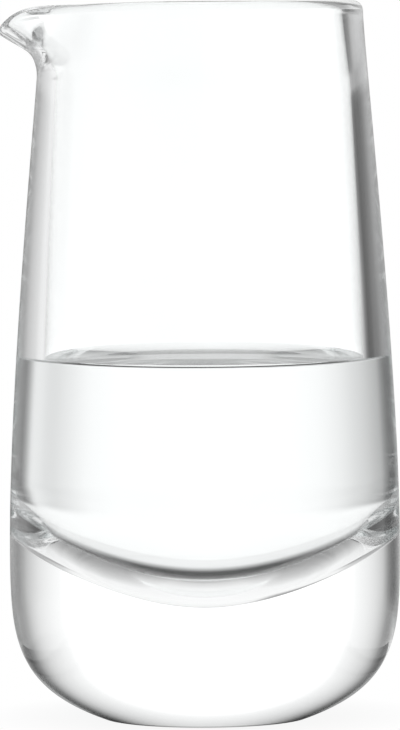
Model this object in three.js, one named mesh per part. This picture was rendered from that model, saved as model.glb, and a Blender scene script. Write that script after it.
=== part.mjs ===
// A blown glass carafe with a thick base and a pulled pouring lip, part filled with water.
// Millimetres, +Z up. The origin is the centre of the foot, on the surface that the carafe stands on.
// The pouring lip points along -X. Heights are measured from the foot, radii from the axis.

import * as THREE from "three";

// Outside of the glass
const height = 143; // top of the rim
const footRadius = 20.5; // flat ground foot
const heelSlopeDeg = 20; // of the heel where it leaves the foot
const heelReach = 19; // curve handle of the heel at the foot
const heelRise = 18; // curve handle of the heel at the widest ring
const bodyRadius = 39; // at the widest ring
const bodyHeight = 34; // of the widest ring
const bellyRise = 36; // curve handle of the wall above the widest ring
const rimRadius = 32; // outside of the rim
const rimStraight = 6; // curve handle of the wall under the rim

// Thickness of the glass
const floorThickness = 23.7; // at the axis
const wallAtBowl = 6.4; // where the round floor meets the wall
const wallAtLip = 3.6; // where the lip begins
const rimThickness = 4.1;
const bowlDepth = 20.5; // of the round floor inside, from its lowest point to the wall
const bowlRun = 15.5; // curve handle of the round floor at the axis
const bowlRise = 5; // curve handle of the round floor at the wall

// Pouring lip, pulled out of the rim
const lipDepth = 16; // of the pulled stretch below the rim
const lipReach = 8.7; // of the lip's edge past the rim
const lipDrop = 2.95; // of the lip's edge below the rim's edge
const lipThickness = 2.2; // at the lip's edge
const lipThinsFrom = 0.25; // share of the lip's length where the wall begins to thin
const lipThinsTo = 0.7; // share where it has thinned to its edge
const lipSlopeDeg = 35; // above level, of the lip at its edge
const lipBend = 6.8; // curve handle of the lip where it leaves the wall
const lipRun = 7.2; // curve handle of the lip at its edge
const lipPullDeg = 20; // half angle over which the rim is pulled out
const lipDropDeg = 10.5; // half angle over which the rim is pulled down
const rimSag = 0.8; // how far the whole rim dips towards the lip

// Water
const waterLevel = 71;
const waterClearance = 0.3; // between water and glass
const meniscusHeight = 1.2; // climb of the water at the wall
const meniscusReach = 2.7; // capillary length of water
const meniscusWidth = 9; // ring over which the curved edge is drawn

// Facets
const segments = 72; // round the axis
const heelSteps = 9;
const wallSteps = 8;
const lipSteps = 6;
const edgeSteps = 6;
const innerSteps = 5;
const bowlSteps = 9;
const waterSteps = 2;
const meniscusSteps = 5;
const halvings = 40; // of the search for a height on a curve

const edgeHeight = height - rimThickness / 2;
const lipRoot = height - lipDepth;
const bowlTop = floorThickness + bowlDepth;

const heelSlope = THREE.MathUtils.degToRad(heelSlopeDeg);
const heel = new THREE.CubicBezierCurve(
  new THREE.Vector2(footRadius, 0),
  new THREE.Vector2(
    footRadius + heelReach * Math.cos(heelSlope),
    heelReach * Math.sin(heelSlope),
  ),
  new THREE.Vector2(bodyRadius, bodyHeight - heelRise),
  new THREE.Vector2(bodyRadius, bodyHeight),
);

const outerWall = new THREE.CubicBezierCurve(
  new THREE.Vector2(bodyRadius, bodyHeight),
  new THREE.Vector2(bodyRadius, bodyHeight + bellyRise),
  new THREE.Vector2(rimRadius, edgeHeight - rimStraight),
  new THREE.Vector2(rimRadius, edgeHeight),
);

// Radius of the outer wall at a height: the curve only rises, so halving finds the place on it.
function outerRadius(z) {
  let low = 0;
  let high = 1;
  for (let i = 0; i < halvings; i++) {
    const middle = (low + high) / 2;
    if (outerWall.getPoint(middle).y < z) low = middle;
    else high = middle;
  }
  return outerWall.getPoint(low).x;
}

// The wall thins from the round floor up to the lip, and thickens again into the rim.
function wallThickness(z) {
  if (z < lipRoot) {
    return THREE.MathUtils.mapLinear(z, bowlTop, lipRoot, wallAtBowl, wallAtLip);
  }
  return THREE.MathUtils.mapLinear(z, lipRoot, edgeHeight, wallAtLip, rimThickness);
}

function innerRadius(z) {
  return outerRadius(z) - wallThickness(z);
}

// Evenly spaced values from one number to another, with both ends.
function spaced(from, to, steps) {
  return Array.from({ length: steps + 1 }, (_, i) => from + ((to - from) * i) / steps);
}

// Half a turn round the end of a wall, from its outside over its edge to its inside.
function roundedEdge(centre, along, outward, radius) {
  return spaced(0, Math.PI, edgeSteps).map((turn) =>
    centre
      .clone()
      .addScaledVector(outward, radius * Math.cos(turn))
      .addScaledVector(along, radius * Math.sin(turn)),
  );
}

// Section of the plain rim: up the outside, over the rounded edge and down the inside.
function rimSection() {
  const heights = spaced(lipRoot, edgeHeight, lipSteps).slice(0, -1);
  const outside = heights.map((z) => new THREE.Vector2(outerRadius(z), z));
  const inside = heights.map((z) => new THREE.Vector2(innerRadius(z), z));
  const centre = new THREE.Vector2(rimRadius - rimThickness / 2, edgeHeight);
  const up = new THREE.Vector2(0, 1);
  const outward = new THREE.Vector2(1, 0);
  const edge = roundedEdge(centre, up, outward, rimThickness / 2);
  return [...outside, ...edge, ...inside.reverse()];
}

// Section through the middle of the pouring lip, point for point like the plain rim's.
function lipSection() {
  const slope = THREE.MathUtils.degToRad(lipSlopeDeg);
  const along = new THREE.Vector2(Math.cos(slope), Math.sin(slope));
  const root = new THREE.Vector2(outerRadius(lipRoot) - wallAtLip / 2, lipRoot);
  const lean = outerRadius(lipRoot) - outerRadius(lipRoot - 1); // of the wall, over a millimetre of height
  const upTheWall = new THREE.Vector2(lean, 1).normalize();
  const tip = new THREE.Vector2(
    rimRadius + lipReach - lipThickness / 2,
    edgeHeight - lipDrop,
  );
  const middle = new THREE.CubicBezierCurve(
    root,
    root.clone().addScaledVector(upTheWall, lipBend),
    tip.clone().addScaledVector(along, -lipRun),
    tip,
  );
  const outside = [];
  const inside = [];
  for (const t of spaced(0, 1, lipSteps).slice(0, -1)) {
    const thinned = THREE.MathUtils.smoothstep(t, lipThinsFrom, lipThinsTo);
    const half = THREE.MathUtils.lerp(wallAtLip, lipThickness, thinned) / 2;
    const tangent = middle.getTangent(t);
    const outward = new THREE.Vector2(tangent.y, -tangent.x);
    outside.push(middle.getPoint(t).addScaledVector(outward, half));
    inside.push(middle.getPoint(t).addScaledVector(outward, -half));
  }
  const outward = new THREE.Vector2(along.y, -along.x);
  const edge = roundedEdge(tip, along, outward, lipThickness / 2);
  return [...outside, ...edge, ...inside.reverse()];
}

// The round floor inside, from the axis up to the wall, drawn in by a clearance.
function bowlSection(clearance) {
  const low = floorThickness + clearance;
  const across = innerRadius(bowlTop) - clearance;
  const bowl = new THREE.CubicBezierCurve(
    new THREE.Vector2(0, low),
    new THREE.Vector2(bowlRun, low),
    new THREE.Vector2(across, bowlTop - bowlRise),
    new THREE.Vector2(across, bowlTop),
  );
  return bowl.getPoints(bowlSteps);
}

// Bell curve over an angle from the lip, in degrees.
function bell(angleDeg, widthDeg) {
  return Math.exp(-((angleDeg / widthDeg) ** 2));
}

// A turned solid whose profile starts and ends on the axis. The first ring of points lies along -X.
function turned(profile) {
  const geometry = new THREE.LatheGeometry(profile, segments, -Math.PI / 2);
  return geometry.rotateX(Math.PI / 2);
}

// Moves the points of the rim's section towards the lip's section, the more the nearer they are to -X.
function pullLip(geometry, profileLength, firstRimPoint, rim, lip) {
  const position = geometry.attributes.position;
  for (let v = 0; v < position.count; v++) {
    const k = (v % profileLength) - firstRimPoint;
    if (k < 0 || k >= rim.length) continue;
    const angle = Math.atan2(position.getY(v), -position.getX(v));
    const angleDeg = THREE.MathUtils.radToDeg(angle);
    const radius = THREE.MathUtils.lerp(rim[k].x, lip[k].x, bell(angleDeg, lipPullDeg));
    const pulled = THREE.MathUtils.lerp(rim[k].y, lip[k].y, bell(angleDeg, lipDropDeg));
    const nearRim = (rim[k].y - lipRoot) / lipDepth;
    const sag = rimSag * nearRim * Math.max(0, Math.cos(angle)) ** 2;
    position.setXYZ(v, -radius * Math.cos(angle), radius * Math.sin(angle), pulled - sag);
  }
  geometry.computeVertexNormals();
  return geometry;
}

function glassGeometry() {
  const outside = [
    new THREE.Vector2(0, 0),
    ...heel.getPoints(heelSteps),
    ...spaced(bodyHeight, lipRoot, wallSteps)
      .slice(1, -1)
      .map((z) => new THREE.Vector2(outerRadius(z), z)),
  ];
  const inside = [
    ...spaced(lipRoot, bowlTop, innerSteps)
      .slice(1, -1)
      .map((z) => new THREE.Vector2(innerRadius(z), z)),
    ...bowlSection(0).reverse(),
  ];
  const rim = rimSection();
  const profile = [...outside, ...rim, ...inside];
  return pullLip(turned(profile), profile.length, outside.length, rim, lipSection());
}

// The water follows the glass up to its contact line. Its surface falls from there to its level.
function waterGeometry() {
  const contact = waterLevel + meniscusHeight;
  const side = [
    ...bowlSection(waterClearance),
    ...spaced(bowlTop, contact, waterSteps)
      .slice(1)
      .map((z) => new THREE.Vector2(innerRadius(z) - waterClearance, z)),
  ];
  const wall = side.at(-1).x;
  const surface = spaced(wall, wall - meniscusWidth, meniscusSteps)
    .slice(1)
    .map((r) => {
      const climb = meniscusHeight * Math.exp(-(wall - r) / meniscusReach);
      return new THREE.Vector2(r, waterLevel + climb);
    });
  return turned([...side, ...surface, new THREE.Vector2(0, waterLevel)]);
}

const clearGlass = new THREE.MeshStandardMaterial({
  color: "#f4f6f5",
  roughness: 0.02,
  metalness: 0,
  transparent: true,
  opacity: 0.25,
});
const clearWater = new THREE.MeshStandardMaterial({
  color: "#eef3f5",
  roughness: 0.02,
  metalness: 0,
  transparent: true,
  opacity: 0.35,
});

const glassBody = new THREE.Mesh(glassGeometry(), clearGlass);
glassBody.name = "glass_body";

const waterFill = new THREE.Mesh(waterGeometry(), clearWater);
waterFill.name = "water_fill";

const carafe = new THREE.Group();
carafe.add(glassBody, waterFill);

export default carafe;
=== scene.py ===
"""Blown glass carafe with a thick base and a pulled pouring lip, half filled with water.

Metres, +Z up. The origin is the centre of the foot and the lip points along -X.
"""

import math

import bpy
from bpy.props import FloatProperty, FloatVectorProperty, IntProperty, PointerProperty
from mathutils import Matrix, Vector
from mathutils.geometry import interpolate_bezier
from mathutils.kdtree import KDTree


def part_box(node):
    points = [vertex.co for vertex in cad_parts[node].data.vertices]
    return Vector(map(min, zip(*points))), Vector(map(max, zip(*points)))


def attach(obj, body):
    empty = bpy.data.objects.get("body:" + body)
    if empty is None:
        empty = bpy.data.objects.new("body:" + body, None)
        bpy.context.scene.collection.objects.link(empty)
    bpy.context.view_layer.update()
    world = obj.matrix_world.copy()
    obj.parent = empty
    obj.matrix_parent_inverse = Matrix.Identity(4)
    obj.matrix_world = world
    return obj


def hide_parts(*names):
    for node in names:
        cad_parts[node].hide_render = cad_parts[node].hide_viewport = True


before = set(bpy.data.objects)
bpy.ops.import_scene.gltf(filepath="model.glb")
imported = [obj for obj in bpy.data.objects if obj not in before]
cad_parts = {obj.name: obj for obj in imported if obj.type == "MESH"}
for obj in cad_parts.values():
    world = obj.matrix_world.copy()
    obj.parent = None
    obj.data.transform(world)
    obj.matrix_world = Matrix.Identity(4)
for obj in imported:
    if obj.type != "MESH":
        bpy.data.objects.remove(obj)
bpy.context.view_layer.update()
glass_low, glass_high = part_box("glass_body")

bl_info = {
    "name": "Glass Carafe",
    "version": (1, 0, 0),
    "blender": (4, 5, 0),
    "location": "View3D > Sidebar > Carafe",
    "description": "Builds a blown glass carafe with a pouring lip, half filled with water",
    "category": "Object",
}

MERGE_DISTANCE = 1e-6
SAME_POINT = 1e-5
# Size of the plane that is merged to the first point of a profile.
SEED_SIZE = 0.01
# Height over which the lean of the wall is measured.
LIP_LEAN_STEP = 0.001
# Upward part of a normal below which a face looks down, away from the water.
FACING_DOWN = -0.5

GLASS_IOR = 1.5
WATER_IOR = 1.333
# Waves in the blown skin: their width, their depth and their scale along the wall, where less is longer.
WAVE_WIDTH = 0.018
WAVE_DEPTH = 0.00002
WAVE_DRAW = 0.35
# With fewer bounces, light that is trapped in the lip and the rim would turn black.
LIGHT_BOUNCES = 256
CAMERA_CLIP = (0.01, 100)

# Levels on the floor as the glass sees it: a painted shadow, dark under the foot and the heel, by distance
# from the axis as a share of the floor's width.
PAINTED_HEEL_SHADOW = ((0.345, 0.03), (0.37, 0.15), (0.40, 0.5), (0.43, 0.95), (0.45, 1.0))
# The same after a mirroring inside the glass: painted shade, darkest under the foot, by distance behind the
# floor's front edge, and the axis there.
PAINTED_FOOT_SHADE = (
    (0.28, 0.6), (0.33, 0.35), (0.385, 0.1), (0.44, 0.1), (0.485, 0.35), (0.52, 0.7), (0.56, 0.93),
    (0.61, 1.0),
)
AXIS_PLACE = 0.5
# A painted streak of light on the floor that fans out behind the axis: distance from its middle over
# distance from its apex.
PAINTED_LIGHT_STREAK = (
    (0.06, 1.0), (0.2, 0.95), (0.25, 0.8), (0.32, 0.64), (0.4, 0.45), (0.46, 0.36), (0.62, 0.28),
    (0.75, 0.22),
)
PAINTED_LIGHT_STREAK_APEX = 0.31

# Levels of the white backdrop and the dark cards beside it, by angle in degrees from the backdrop's middle.
BACKDROP = (
    (0, 1.1), (10, 1.2), (18, 1.35), (26, 1.4), (32, 1.25), (37, 1.05), (42, 0.96), (45, 0.9), (48, 0.83),
    (51, 0.73), (54, 0.6), (57, 0.45), (60, 0.28), (64, 0.14), (68, 0.05), (80, 0.03), (86, 0.4), (92, 1.0),
)
# Below it, over the floor, by bearing in degrees from straight behind the carafe, right positive.
LOW_BACKDROP = (
    (-92, 1.0), (-80, 0.2), (-65, 0.1), (-54, 0.05), (-46, 0.22), (-39, 0.48), (-32, 0.68), (-27, 0.8),
    (-23, 0.93), (-18, 1.05), (-13, 1.1), (13, 1.1), (18, 1.05), (23, 0.9), (27, 0.81), (30, 0.82),
    (33, 0.91), (36, 0.95), (38, 0.8), (40, 0.5), (42, 0.25), (45, 0.05), (65, 0.1), (80, 0.2),
    (92, 1.0),
)
LOW_BACKDROP_TOP = (-0.112, -0.088)
# Lower still, the white floor all round.
FLOOR_ROUND = ((-180, 1.1), (180, 1.1))
FLOOR_ROUND_TOP = (-0.42, -0.30)

# What rays meet that were mirrored once inside the glass, by bearing, in rings one above the other.
# Each ring takes over from the one below it between two heights, which are sines of the elevation.
MIRRORED_ONCE = (
    (None, ((-120, 0.5), (-40, 0.45), (-25, 0.1), (25, 0.1), (40, 0.45), (120, 0.5))),
    (
        (-0.44, -0.36),
        ((-120, 0.5), (-40, 0.5), (-29, 0.73), (-24, 1.0), (24, 1.0), (29, 0.73), (40, 0.5), (120, 0.5)),
    ),
    (
        (-0.30, -0.25),
        (
            (-120, 0.5), (-45, 0.9), (-28, 0.85), (-20, 0.55), (-15, 0.4), (-9, 0.45), (-6, 0.95),
            (24, 1.0), (40, 0.5),
        ),
    ),
    (
        (-0.16, -0.11),
        (
            (-120, 0.5), (-60, 0.45), (-49, 0.97), (-46, 0.97), (-42, 0.92), (-37, 0.76), (-30, 0.63),
            (-22, 0.52), (-16, 0.38), (-12, 0.3), (0, 0.36), (7, 0.42), (13, 0.45), (19, 0.4), (25, 0.27),
            (31, 0.15), (36, 0.06), (42, 0.06), (46, 0.2), (50, 0.6), (60, 0.45), (120, 0.5), (170, 0.62),
        ),
    ),
    (
        (-0.01, 0.02),
        (
            (-120, 0.5), (-60, 0.45), (-49, 0.97), (-46, 0.97), (-42, 0.92), (-37, 0.78), (-30, 0.64),
            (-22, 0.55), (-16, 0.42), (-11, 0.45), (-5, 0.6), (5, 0.6), (12, 0.5), (19, 0.46), (25, 0.4),
            (31, 0.32), (36, 0.27), (42, 0.3), (46, 0.5), (50, 0.7), (60, 0.45), (120, 0.5), (170, 0.62),
        ),
    ),
    (
        (0.07, 0.11),
        (
            (-120, 0.5), (-60, 0.4), (-45, 0.15), (-40, 0.17), (-34, 0.42), (-26, 0.6), (-20, 0.72),
            (-13, 0.82), (13, 0.82), (20, 0.72), (26, 0.6), (34, 0.42), (40, 0.17), (45, 0.15), (60, 0.4),
            (120, 0.5), (170, 0.62),
        ),
    ),
)
# The same for rays that were mirrored more often: the backdrop, the dark room in front and the ceiling.
MIRRORED_AGAIN = (
    (None, ((-180, 0.3), (180, 0.3))),
    ((-0.12, -0.06), ((-125, 0.08), (-85, 0.85), (-60, 0.95), (60, 0.95), (85, 0.85), (125, 0.08))),
    ((0.16, 0.24), ((-125, 0.25), (-85, 0.4), (85, 0.4), (125, 0.25))),
    ((0.38, 0.48), ((-180, 1.0), (180, 1.0))),
)


def length(name, description, default):
    """A size in metres that the user can change."""
    return FloatProperty(
        name=name, description=description, default=default, unit="LENGTH", precision=5
    )


def angle(name, description, degrees):
    """An angle that the user can change."""
    return FloatProperty(
        name=name, description=description, default=math.radians(degrees), subtype="ANGLE"
    )


def share(name, description, default):
    """A part of a whole that the user can change."""
    return FloatProperty(name=name, description=description, default=default, min=0.01, max=1)


def count(name, description, default):
    """A number of steps that the user can change."""
    return IntProperty(name=name, description=description, default=default, min=2)


def linear(hex_colour):
    """An sRGB hex colour as linear red, green and blue."""
    parts = [int(hex_colour[i : i + 2], 16) / 255 for i in (1, 3, 5)]
    return [p / 12.92 if p <= 0.04045 else ((p + 0.055) / 1.055) ** 2.4 for p in parts]


def colour(name, description, hex_colour):
    """A colour that the user can change."""
    return FloatVectorProperty(
        name=name, description=description, default=linear(hex_colour), subtype="COLOR", min=0, max=1
    )


class CarafeGlassSizes(bpy.types.PropertyGroup):
    """Sizes of the glass"""

    height: length("Height", "Top of the rim above the foot", glass_high.z)
    foot_radius: length("Foot radius", "Radius of the flat ground foot", 0.0205)
    heel_slope: angle("Heel slope", "Slope of the heel where it leaves the foot", 20)
    heel_reach: length("Heel reach", "Curve handle of the heel at the foot", 0.019)
    heel_rise: length("Heel rise", "Curve handle of the heel at the widest ring", 0.018)
    body_radius: length("Body radius", "Radius of the widest ring", glass_high.y)
    body_height: length("Body height", "Height of the widest ring", 0.034)
    belly_rise: length("Belly rise", "Curve handle of the wall above the widest ring", 0.036)
    rim_radius: length("Rim radius", "Outside radius of the rim", 0.032)
    rim_straight: length("Rim straight", "Curve handle of the wall under the rim", 0.006)
    floor_thickness: length("Floor thickness", "Glass under the round floor, on the axis", 0.0237)
    bowl_depth: length("Bowl depth", "Height of the round floor up to the wall", 0.0205)
    bowl_run: length("Bowl run", "Curve handle of the round floor at the axis", 0.0155)
    bowl_rise: length("Bowl rise", "Curve handle of the round floor at the wall", 0.005)
    wall_at_bowl: length("Wall at the bowl", "Wall where the round floor ends", 0.0064)
    wall_at_lip: length("Wall at the lip", "Wall where the lip begins", 0.0036)
    rim_thickness: length("Rim thickness", "Wall at the rim", 0.0041)
    wall_blend: length("Wall blend", "Glass that rounds off the thinnest ring of the wall", 0.0001)
    lip_depth: length("Lip depth", "Pulled stretch below the rim", 0.016)
    lip_reach: length("Lip reach", "How far the lip's edge stands past the rim", 0.0087)
    lip_drop: length("Lip drop", "How far the lip's edge lies below the rim's edge", 0.00295)
    lip_thickness: length("Lip thickness", "Glass at the lip's edge", 0.0022)
    lip_thins_from: share("Lip thins from", "Share of the lip where the wall begins to thin", 0.25)
    lip_thins_to: share("Lip thins to", "Share of the lip where it has thinned to its edge", 0.7)
    lip_slope: angle("Lip slope", "Slope of the lip at its edge, above level", 35)
    lip_bend: length("Lip bend", "Curve handle where the lip leaves the wall", 0.0068)
    lip_run: length("Lip run", "Curve handle at the lip's edge", 0.0072)
    lip_pull_width: angle("Lip pull width", "Half angle over which the rim is pulled out", 20)
    lip_drop_width: angle("Lip drop width", "Half angle over which the rim is pulled down", 10.5)
    rim_sag: length("Rim sag", "How far the whole rim dips towards the lip", 0.0008)
    segments: count("Segments", "Faces round the axis", 288)
    steps: count("Steps", "Faces along each stretch of the profile", 24)


class CarafeWaterSizes(bpy.types.PropertyGroup):
    """Sizes of the water"""

    level: length("Level", "Height of the flat surface above the foot", 0.071)
    meniscus_height: length("Meniscus height", "How far the water climbs the glass", 0.0012)
    meniscus_reach: length("Meniscus reach", "Capillary length of water", 0.0027)
    clearance: length("Clearance", "Gap between the water's skin and the glass it wets", 0.00002)


class CarafeFinish(bpy.types.PropertyGroup):
    """Colours of the materials"""

    glass: colour("Glass", "Tint of the clear glass", "#FDFEFE")
    water: colour("Water", "Tint of the water", "#FEFEFE")


class CarafeStage(bpy.types.PropertyGroup):
    """Camera, floor and light"""

    camera_distance: length("Camera distance", "From the carafe's axis to the camera, level", 1.25)
    eye_height: length("Eye height", "Height of the camera above the floor", 0.1412)
    aim_height: length("Aim height", "Height that the camera points at", 0.07044)
    aim_side: length("Aim side", "How far right of the axis the camera points", -0.0008)
    roll: angle("Roll", "Tilt of the photograph, top to the left", 0.3)
    lens: FloatProperty(name="Lens", description="Focal length", default=309.2, unit="CAMERA")
    floor_width: length("Floor width", "Width of the sheet that the carafe stands on", 0.13)
    floor_gap: length("Floor gap", "Air under the foot, which is never quite flat", 0.00005)
    shadow_reach: length("Shadow reach", "How far the soft shadow under the heel reaches", 0.015)
    shadow_depth: share("Shadow depth", "How dark that shadow is where the carafe stands", 0.08)
    backdrop_turn: angle("Backdrop turn", "How far right of straight behind the backdrop's middle is", -1.2)


def unselect_all():
    """Leaves nothing selected, so that an operator acts on the new piece alone."""
    bpy.ops.object.select_all(action="DESELECT")


def bezier(start, start_handle, end_handle, end, steps):
    """Points on a cubic curve, with both ends."""
    return [Vector(p) for p in interpolate_bezier(start, start_handle, end_handle, end, steps + 1)]


def spaced(first, last, steps):
    """Evenly spaced numbers, with both ends."""
    return [first + (last - first) * i / steps for i in range(steps + 1)]


def value_at(points, z):
    """Radius at a height on a profile of points (radius, height) that only rises."""
    for below, above in zip(points, points[1:]):
        if z <= above.y:
            risen = (z - below.y) / (above.y - below.y)
            return below.x + (above.x - below.x) * risen
    return points[-1].x


class GlassProfile:
    """The section of the glass, as points (radius, height), worked out from its sizes."""

    CURVE_STEPS = 400

    def __init__(self, sizes):
        self.sizes = sizes
        self.edge_height = sizes.height - sizes.rim_thickness / 2
        self.lip_root = sizes.height - sizes.lip_depth
        self.bowl_top = sizes.floor_thickness + sizes.bowl_depth
        self.outer_wall = bezier(
            Vector((sizes.body_radius, sizes.body_height)),
            Vector((sizes.body_radius, sizes.body_height + sizes.belly_rise)),
            Vector((sizes.rim_radius, self.edge_height - sizes.rim_straight)),
            Vector((sizes.rim_radius, self.edge_height)),
            self.CURVE_STEPS,
        )

    def outer(self, z):
        """Outside radius of the wall at a height."""
        return value_at(self.outer_wall, z)

    def wall(self, z):
        """Thickness: the wall thins from the round floor to the lip, and thickens smoothly into the rim."""
        sizes = self.sizes
        below = (sizes.wall_at_bowl - sizes.wall_at_lip) / (self.lip_root - self.bowl_top)
        above = (sizes.rim_thickness - sizes.wall_at_lip) / (self.edge_height - self.lip_root)
        thinning = sizes.wall_at_lip + (self.lip_root - z) * below
        thickening = sizes.wall_at_lip + (z - self.lip_root) * above
        return (thinning + thickening) / 2 + math.hypot((thinning - thickening) / 2, sizes.wall_blend)

    def inner(self, z):
        """Inside radius of the wall at a height."""
        return self.outer(z) - self.wall(z)

    def heel(self):
        """The rounded outside from the foot up to the widest ring."""
        sizes = self.sizes
        run = Vector((math.cos(sizes.heel_slope), math.sin(sizes.heel_slope)))
        foot = Vector((sizes.foot_radius, 0))
        return bezier(
            foot,
            foot + sizes.heel_reach * run,
            Vector((sizes.body_radius, sizes.body_height - sizes.heel_rise)),
            Vector((sizes.body_radius, sizes.body_height)),
            2 * sizes.steps,
        )

    def rounded_edge(self, centre, along, outward, radius):
        """Half a turn round the end of a wall, from its outside over its edge to its inside."""
        return [
            centre + radius * (math.cos(turn) * outward + math.sin(turn) * along)
            for turn in spaced(0, math.pi, self.sizes.steps)
        ]

    def rim(self):
        """Section of the plain rim, up the outside, over the edge and down the inside."""
        sizes = self.sizes
        heights = spaced(self.lip_root, self.edge_height, sizes.steps)[:-1]
        outside = [Vector((self.outer(z), z)) for z in heights]
        inside = [Vector((self.inner(z), z)) for z in heights]
        radius = sizes.rim_thickness / 2
        centre = Vector((sizes.rim_radius - radius, self.edge_height))
        edge = self.rounded_edge(centre, Vector((0, 1)), Vector((1, 0)), radius)
        return outside + edge + inside[::-1]

    def lip(self):
        """Section through the middle of the pouring lip, point for point like the rim's."""
        sizes = self.sizes
        along = Vector((math.cos(sizes.lip_slope), math.sin(sizes.lip_slope)))
        radius = sizes.lip_thickness / 2
        tip = Vector((sizes.rim_radius + sizes.lip_reach - radius, self.edge_height - sizes.lip_drop))
        root = Vector(((self.outer(self.lip_root) + self.inner(self.lip_root)) / 2, self.lip_root))
        lean = self.outer(self.lip_root) - self.outer(self.lip_root - LIP_LEAN_STEP)
        up_the_wall = Vector((lean, LIP_LEAN_STEP)).normalized()
        middle = bezier(
            root,
            root + sizes.lip_bend * up_the_wall,
            tip - sizes.lip_run * along,
            tip,
            sizes.steps,
        )
        outside = []
        inside = []
        root_half = self.outer(self.lip_root) - root.x
        for i in range(sizes.steps):
            before = middle[max(0, i - 1)]
            run = (middle[i + 1] - before).normalized()
            if i == 0:
                run = up_the_wall
            outward = Vector((run.y, -run.x))
            thinned = smooth_step(i / sizes.steps, sizes.lip_thins_from, sizes.lip_thins_to)
            half = root_half + (radius - root_half) * thinned
            outside.append(middle[i] + half * outward)
            inside.append(middle[i] - half * outward)
        edge = self.rounded_edge(tip, along, Vector((along.y, -along.x)), radius)
        return outside + edge + inside[::-1]

    def bowl(self, clearance):
        """The round floor from the axis up to the wall, drawn in by a clearance."""
        sizes = self.sizes
        low = sizes.floor_thickness + clearance
        across = self.inner(self.bowl_top) - clearance
        return bezier(
            Vector((0, low)),
            Vector((sizes.bowl_run, low)),
            Vector((across, self.bowl_top - sizes.bowl_rise)),
            Vector((across, self.bowl_top)),
            3 * sizes.steps,
        )

    def whole(self, contact):
        """The closed section of the glass, from the axis under the foot to the axis on the round floor.

        One ring of points lies at the height where the water touches the wall.
        """
        sizes = self.sizes
        foot = [Vector((r, 0)) for r in spaced(0, sizes.foot_radius, sizes.steps // 2)][:-1]
        outside = spaced(sizes.body_height, self.lip_root, 2 * sizes.steps)[1:-1]
        dry = spaced(self.lip_root, contact, 2 * sizes.steps)[1:-1]
        wet = spaced(contact, self.bowl_top, sizes.steps)[:-1]
        return (
            foot
            + self.heel()
            + [Vector((self.outer(z), z)) for z in outside]
            + self.rim()
            + [Vector((self.inner(z), z)) for z in dry + wet]
            + self.bowl(0)[::-1]
        )


def turned_piece(name, profile, segments):
    """A solid of revolution: one point is extruded along the profile and spun round the axis."""
    unselect_all()
    bpy.ops.mesh.primitive_plane_add(size=SEED_SIZE, location=(0, 0, 0))
    piece = bpy.context.object
    piece.name = piece.data.name = name
    bpy.ops.object.mode_set(mode="EDIT")
    bpy.ops.mesh.select_all(action="SELECT")
    bpy.ops.mesh.merge(type="CENTER")
    bpy.ops.transform.translate(value=(-profile[0].x, 0, profile[0].y))
    for before, after in zip(profile, profile[1:]):
        step = (before.x - after.x, 0, after.y - before.y)
        bpy.ops.mesh.extrude_region_move(TRANSFORM_OT_translate={"value": step})
    bpy.ops.mesh.select_all(action="SELECT")
    bpy.ops.mesh.spin(steps=segments, angle=math.tau, center=(0, 0, 0), axis=(0, 0, 1))
    bpy.ops.mesh.select_all(action="SELECT")
    bpy.ops.mesh.remove_doubles(threshold=MERGE_DISTANCE)
    bpy.ops.mesh.normals_make_consistent(inside=False)
    bpy.ops.object.mode_set(mode="OBJECT")
    bpy.ops.object.shade_smooth()
    return piece


def smooth_step(value, first, last):
    """A change from 0 to 1 between two values, which starts and ends softly."""
    done = min(1, max(0, (value - first) / (last - first)))
    return done * done * (3 - 2 * done)


def bell(turn, width):
    """Bell curve over an angle from the lip."""
    return math.exp(-((turn / width) ** 2))


def pull_lip(piece, profile):
    """Moves the rim of the turned glass towards the lip's section, the more the nearer it is to -X."""
    sizes = profile.sizes
    rim = profile.rim()
    lip = profile.lip()
    nearest = KDTree(len(rim))
    for i, point in enumerate(rim):
        nearest.insert((point.x, point.y, 0), i)
    nearest.balance()
    for vertex in piece.data.vertices:
        x, y, z = vertex.co
        _, i, distance = nearest.find((math.hypot(x, y), z, 0))
        if distance > SAME_POINT:
            continue
        turn = math.atan2(y, -x)
        pull = bell(turn, sizes.lip_pull_width)
        drop = bell(turn, sizes.lip_drop_width)
        radius = rim[i].x + (lip[i].x - rim[i].x) * pull
        near_rim = (rim[i].y - profile.lip_root) / sizes.lip_depth
        sag = sizes.rim_sag * near_rim * max(0, math.cos(turn)) ** 2
        height = rim[i].y + (lip[i].y - rim[i].y) * drop - sag
        vertex.co = (-radius * math.cos(turn), radius * math.sin(turn), height)


def add_node(tree, kind, settings=None, values=None, links=None):
    """Adds a node with its settings, its sockets' values and its links from other nodes' outputs."""
    node = tree.nodes.new(kind)
    for key, value in (settings or {}).items():
        setattr(node, key, value)
    for key, value in (values or {}).items():
        node.inputs[key].default_value = value
    for key, socket in (links or {}).items():
        tree.links.new(socket, node.inputs[key])
    return node


def add_ramp(tree, socket, stops):
    """Adds a ramp of greys, as pairs of place and level."""
    node = add_node(tree, "ShaderNodeValToRGB", links={"Fac": socket})
    elements = node.color_ramp.elements
    while len(elements) < len(stops):
        elements.new(0.5)
    for element, (place, level) in zip(elements, stops):
        element.position = place
        element.color = (level, level, level, 1)
    return node.outputs["Color"]


def add_math(tree, operation, first, second=0.0):
    """Adds one step of arithmetic on a socket, with a second socket or number."""
    sums = add_node(tree, "ShaderNodeMath", settings={"operation": operation}, links={0: first})
    if isinstance(second, float):
        sums.inputs[1].default_value = second
    else:
        tree.links.new(second, sums.inputs[1])
    return sums.outputs[0]


def add_mix(tree, factor, first, second):
    """Adds a mix of two colours, from all of the first to all of the second."""
    mixed = add_node(
        tree,
        "ShaderNodeMix",
        settings={"data_type": "RGBA"},
        links={0: factor, 6: first, 7: second},
    )
    return mixed.outputs[2]


def empty_material(name):
    """A material with no nodes yet."""
    material = bpy.data.materials.new(name)
    material.use_nodes = True
    material.node_tree.nodes.clear()
    return material, material.node_tree


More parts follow.
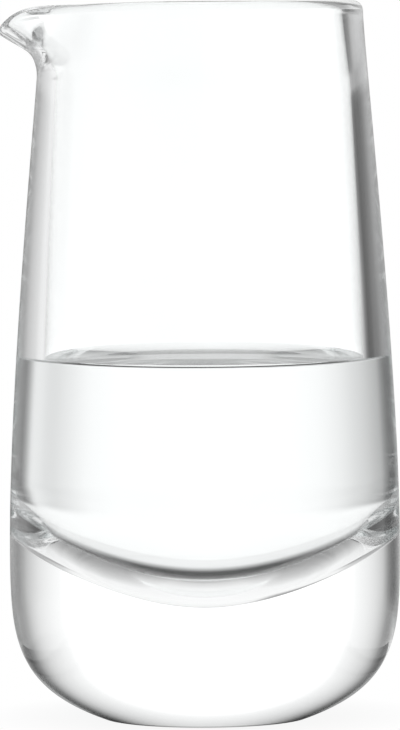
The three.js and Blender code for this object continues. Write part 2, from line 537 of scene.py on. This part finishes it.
def blown_glass(name, tint, ior):
    """Blown clear glass, fire-polished: no grain and no haze, and a skin that waves faintly.

    The waves are the hot gather's own, drawn out along the wall. They make the dark edges waver a little.
    """
    material, tree = empty_material(name)
    place = add_node(tree, "ShaderNodeTexCoord")
    drawn = add_node(
        tree,
        "ShaderNodeMapping",
        values={"Scale": (1, 1, WAVE_DRAW)},
        links={"Vector": place.outputs["Object"]},
    )
    waves = add_node(
        tree,
        "ShaderNodeTexNoise",
        values={"Scale": 1 / WAVE_WIDTH, "Detail": 1.0, "Roughness": 0.4},
        links={"Vector": drawn.outputs["Vector"]},
    )
    skin = add_node(
        tree,
        "ShaderNodeBump",
        values={"Strength": 1.0, "Distance": WAVE_DEPTH},
        links={"Height": waves.outputs["Fac"]},
    )
    glass = add_node(
        tree,
        "ShaderNodeBsdfPrincipled",
        values={
            "Base Color": (*tint, 1),
            "Roughness": 0.0,
            "IOR": ior,
            "Transmission Weight": 1.0,
        },
        links={"Normal": skin.outputs["Normal"]},
    )
    add_node(tree, "ShaderNodeOutputMaterial", links={"Surface": glass.outputs["BSDF"]})
    return material


def still_water(name, tint, ior):
    """Still clear water: a mirror-smooth surface that bends light less than glass does."""
    material, tree = empty_material(name)
    water = add_node(
        tree,
        "ShaderNodeBsdfPrincipled",
        values={
            "Base Color": (*tint, 1),
            "Roughness": 0.0,
            "IOR": ior,
            "Transmission Weight": 1.0,
        },
    )
    add_node(tree, "ShaderNodeOutputMaterial", links={"Surface": water.outputs["BSDF"]})
    return material


def white_floor(stage):
    """Matt white paper with a faint shadow under the heel.

    The glass also sees a painted shadow, a dark ring round the foot, and painted shade under the foot with a
    painted streak of light behind it, standing in for the light that the water gathers.
    """
    material, tree = empty_material("Matt White Paper")
    path = add_node(tree, "ShaderNodeLightPath")
    place = add_node(tree, "ShaderNodeTexCoord")
    in_widths = add_node(
        tree,
        "ShaderNodeVectorMath",
        settings={"operation": "SCALE"},
        values={"Scale": 1 / stage.floor_width},
        links={0: place.outputs["Object"]},
    )
    away = add_node(
        tree,
        "ShaderNodeVectorMath",
        settings={"operation": "LENGTH"},
        links={0: in_widths.outputs["Vector"]},
    )
    split = add_node(tree, "ShaderNodeSeparateXYZ", links={"Vector": in_widths.outputs["Vector"]})
    # Painted shadow round the foot, for rays that came straight through the glass.
    ring = add_ramp(tree, away.outputs["Value"], PAINTED_HEEL_SHADOW)
    # Painted shade under the foot, for rays mirrored inside the glass.
    foot = add_ramp(tree, add_math(tree, "ADD", split.outputs["Y"], AXIS_PLACE), PAINTED_FOOT_SHADE)
    # Painted streak of light behind the axis, for rays mirrored inside the glass.
    aside = add_math(tree, "ABSOLUTE", split.outputs["X"])
    behind = add_math(tree, "MAXIMUM", split.outputs["Y"])
    from_apex = add_math(tree, "ADD", behind, PAINTED_LIGHT_STREAK_APEX)
    painted_light_streak = add_ramp(tree, add_math(tree, "DIVIDE", aside, from_apex), PAINTED_LIGHT_STREAK)
    # Painted shade under the foot times the painted streak of light.
    painted_shade_and_streak = add_node(
        tree,
        "ShaderNodeMix",
        settings={"data_type": "RGBA", "blend_type": "MULTIPLY"},
        values={0: 1.0},
        links={6: foot, 7: painted_light_streak},
    )
    # Rays straight through the glass see the painted shadow, mirrored ones the painted shade and streak.
    glass_sees = add_mix(tree, path.outputs["Glossy Depth"], ring, painted_shade_and_streak.outputs[2])
    near = add_node(tree, "ShaderNodeAmbientOcclusion", values={"Distance": stage.shadow_reach})
    shadow = add_ramp(tree, near.outputs["AO"], ((0.0, 1 - stage.shadow_depth), (1.0, 1.0)))
    seen = add_mix(tree, path.outputs["Is Camera Ray"], glass_sees, shadow)
    white = add_node(tree, "ShaderNodeEmission", links={"Color": seen})
    add_node(tree, "ShaderNodeOutputMaterial", links={"Surface": white.outputs[0]})
    return material


class CARAFE_OT_glass_body(bpy.types.Operator):
    """Turns the glass and pulls its pouring lip"""

    bl_idname = "carafe.glass_body"
    bl_label = "Glass Body"

    def execute(self, context):
        sizes = context.scene.carafe_glass
        water = context.scene.carafe_water
        finish = context.scene.carafe_finish
        profile = GlassProfile(sizes)
        contact = water.level + water.meniscus_height
        piece = turned_piece("blown_glass_body", profile.whole(contact), sizes.segments)
        pull_lip(piece, profile)
        piece.data.materials.append(blown_glass("Blown Clear Glass", finish.glass, GLASS_IOR))
        piece.data.materials.append(blown_glass("Wet Clear Glass", finish.glass, GLASS_IOR / WATER_IOR))
        for face in piece.data.polygons:
            inward = face.normal.xy.dot(face.center.xy) < 0 and face.normal.z > FACING_DOWN
            face.material_index = int(inward and face.center.z < contact)
        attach(piece, "root")
        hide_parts("glass_body")
        return {"FINISHED"}


class CARAFE_OT_water_fill(bpy.types.Operator):
    """Fills the round floor with water up to its level"""

    bl_idname = "carafe.water_fill"
    bl_label = "Water Fill"

    def execute(self, context):
        water = context.scene.carafe_water
        profile = GlassProfile(context.scene.carafe_glass)
        steps = profile.sizes.steps
        contact = water.level + water.meniscus_height
        side = profile.bowl(water.clearance)
        heights = spaced(profile.bowl_top, contact, steps)[1:]
        side += [Vector((profile.inner(z) - water.clearance, z)) for z in heights]
        wall = side[-1].x
        surface = []
        for step in spaced(0, 1, 2 * steps)[1:]:
            inward = wall * step**2
            climb = water.meniscus_height * math.exp(-inward / water.meniscus_reach)
            surface.append(Vector((wall - inward, water.level + climb)))
        piece = turned_piece("water_fill_surface", side + surface, profile.sizes.segments)
        tint = context.scene.carafe_finish.water
        piece.data.materials.append(still_water("Still Clear Water", tint, WATER_IOR))
        piece.data.materials.append(still_water("Water Against Glass", tint, 1.0))
        for face in piece.data.polygons:
            face.material_index = int(face.normal.xy.dot(face.center.xy) > 0)
        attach(piece, "root")
        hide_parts("water_fill")
        return {"FINISHED"}


class CARAFE_OT_stage(bpy.types.Operator):
    """Lays the floor and sets the light and the camera"""

    bl_idname = "carafe.stage"
    bl_label = "Stage"

    def execute(self, context):
        stage = context.scene.carafe_stage
        lay_floor(stage)
        set_light(context.scene, stage)
        set_camera(context.scene, stage)
        return {"FINISHED"}


def lay_floor(stage):
    """A sheet of white paper under the carafe."""
    unselect_all()
    bpy.ops.mesh.primitive_plane_add(size=1, location=(0, 0, -stage.floor_gap))
    floor = bpy.context.object
    floor.name = floor.data.name = "paper_floor"
    bpy.ops.transform.resize(value=(stage.floor_width, stage.floor_width, 1))
    bpy.ops.object.transform_apply(location=True, rotation=True, scale=True)
    floor.data.materials.append(white_floor(stage))


def add_bearings(tree, bearing, stops):
    """Adds a ramp of greys over a bearing, as pairs of degrees and level."""
    places = [(0.5 + degrees / 360, level) for degrees, level in stops]
    return add_ramp(tree, bearing, places)


def add_fade(tree, height, ends, below, above):
    """Adds a soft change from one level to another between two heights."""
    share_above = add_node(
        tree,
        "ShaderNodeMapRange",
        settings={"interpolation_type": "SMOOTHSTEP"},
        values={"From Min": ends[0], "From Max": ends[1]},
        links={"Value": height},
    )
    return add_mix(tree, share_above.outputs["Result"], below, above)


def add_rings(tree, bearing, height, rings):
    """Adds rings of greys over a bearing, one above the other."""
    level = None
    for ends, stops in rings:
        ring = add_bearings(tree, bearing, stops)
        level = add_fade(tree, height, ends, level, ring) if level else ring
    return level


def set_light(scene, stage):
    """Soft light from all round, with a dark card at each side, so that the glass gets its dark edges."""
    world = bpy.data.worlds.new("Studio")
    scene.world = world
    world.use_nodes = True
    tree = world.node_tree
    tree.nodes.clear()
    path = add_node(tree, "ShaderNodeLightPath")
    place = add_node(tree, "ShaderNodeTexCoord")
    split = add_node(tree, "ShaderNodeSeparateXYZ", links={"Vector": place.outputs["Generated"]})
    height = split.outputs["Z"]
    turn = add_math(tree, "ARCTAN2", split.outputs["X"], split.outputs["Y"])
    bearing = add_node(
        tree,
        "ShaderNodeMapRange",
        values={"From Min": -math.pi, "From Max": math.pi},
        links={"Value": turn},
    ).outputs["Result"]
    middle = (math.sin(stage.backdrop_turn), math.cos(stage.backdrop_turn), 0)
    facing = add_node(
        tree,
        "ShaderNodeVectorMath",
        settings={"operation": "DOT_PRODUCT"},
        values={1: middle},
        links={0: place.outputs["Generated"]},
    )
    aside = add_math(tree, "ARCCOSINE", facing.outputs["Value"])
    aside_share = add_node(
        tree,
        "ShaderNodeMapRange",
        values={"From Max": math.pi},
        links={"Value": aside},
    ).outputs["Result"]
    backdrop = add_ramp(tree, aside_share, [(degrees / 180, level) for degrees, level in BACKDROP])
    low_rings = ((None, FLOOR_ROUND), (FLOOR_ROUND_TOP, LOW_BACKDROP))
    low_backdrop = add_rings(tree, bearing, height, low_rings)
    through = add_fade(tree, height, LOW_BACKDROP_TOP, low_backdrop, backdrop)
    once = add_rings(tree, bearing, height, MIRRORED_ONCE)
    again = add_rings(tree, bearing, height, MIRRORED_AGAIN)
    mirrorings = path.outputs["Glossy Depth"]
    up_to_once = add_mix(tree, mirrorings, through, once)
    more_than_once = add_math(tree, "SUBTRACT", mirrorings, 1.0)
    glass_sees = add_mix(tree, more_than_once, up_to_once, again)
    seen = add_node(
        tree,
        "ShaderNodeMix",
        settings={"data_type": "RGBA"},
        values={7: (1, 1, 1, 1)},
        links={0: path.outputs["Is Camera Ray"], 6: glass_sees},
    )
    background = add_node(tree, "ShaderNodeBackground", links={"Color": seen.outputs[2]})
    add_node(tree, "ShaderNodeOutputWorld", links={"Surface": background.outputs[0]})


def set_camera(scene, stage):
    """A long lens, level with the rim, looking slightly down at the middle of the carafe."""
    data = bpy.data.cameras.new("Camera")
    camera = bpy.data.objects.new("Camera", data)
    scene.collection.objects.link(camera)
    data.lens = stage.lens
    data.sensor_fit = "AUTO"
    camera.location = (stage.aim_side, -stage.camera_distance, stage.eye_height)
    aim = Vector((stage.aim_side, 0, stage.aim_height))
    facing = (aim - camera.location).to_track_quat("-Z", "Y").to_matrix()
    camera.rotation_euler = facing.to_euler()
    camera.rotation_euler.rotate_axis("Z", -stage.roll)
    data.clip_start, data.clip_end = CAMERA_CLIP
    scene.camera = camera
    scene.view_settings.view_transform = "Standard"
    scene.cycles.max_bounces = LIGHT_BOUNCES
    scene.cycles.glossy_bounces = LIGHT_BOUNCES
    scene.cycles.transmission_bounces = LIGHT_BOUNCES


class CARAFE_PT_sidebar(bpy.types.Panel):
    """Lists the carafe's pieces and sizes"""

    bl_idname = "CARAFE_PT_sidebar"
    bl_label = "Carafe"
    bl_space_type = "VIEW_3D"
    bl_region_type = "UI"
    bl_category = "Carafe"

    def draw(self, context):
        for group in PROPERTY_NAMES:
            settings = getattr(context.scene, group)
            box = self.layout.box()
            for name in settings.__annotations__:
                box.prop(settings, name)
        for operator in OPERATORS:
            self.layout.operator(operator.bl_idname)


PROPERTY_NAMES = {
    "carafe_glass": CarafeGlassSizes,
    "carafe_water": CarafeWaterSizes,
    "carafe_finish": CarafeFinish,
    "carafe_stage": CarafeStage,
}
OPERATORS = (CARAFE_OT_glass_body, CARAFE_OT_water_fill, CARAFE_OT_stage)
CLASSES = (*PROPERTY_NAMES.values(), *OPERATORS, CARAFE_PT_sidebar)


def register():
    """Makes the classes and the scene's settings known to Blender."""
    for cls in CLASSES:
        bpy.utils.register_class(cls)
    for name, group in PROPERTY_NAMES.items():
        setattr(bpy.types.Scene, name, PointerProperty(type=group))


def unregister():
    """Takes them away again."""
    for name in PROPERTY_NAMES:
        delattr(bpy.types.Scene, name)
    for cls in reversed(CLASSES):
        bpy.utils.unregister_class(cls)


def main():
    """Builds the carafe and its stage."""
    register()
    bpy.ops.carafe.glass_body()
    bpy.ops.carafe.water_fill()
    bpy.ops.carafe.stage()


if __name__ == "__main__":
    main()
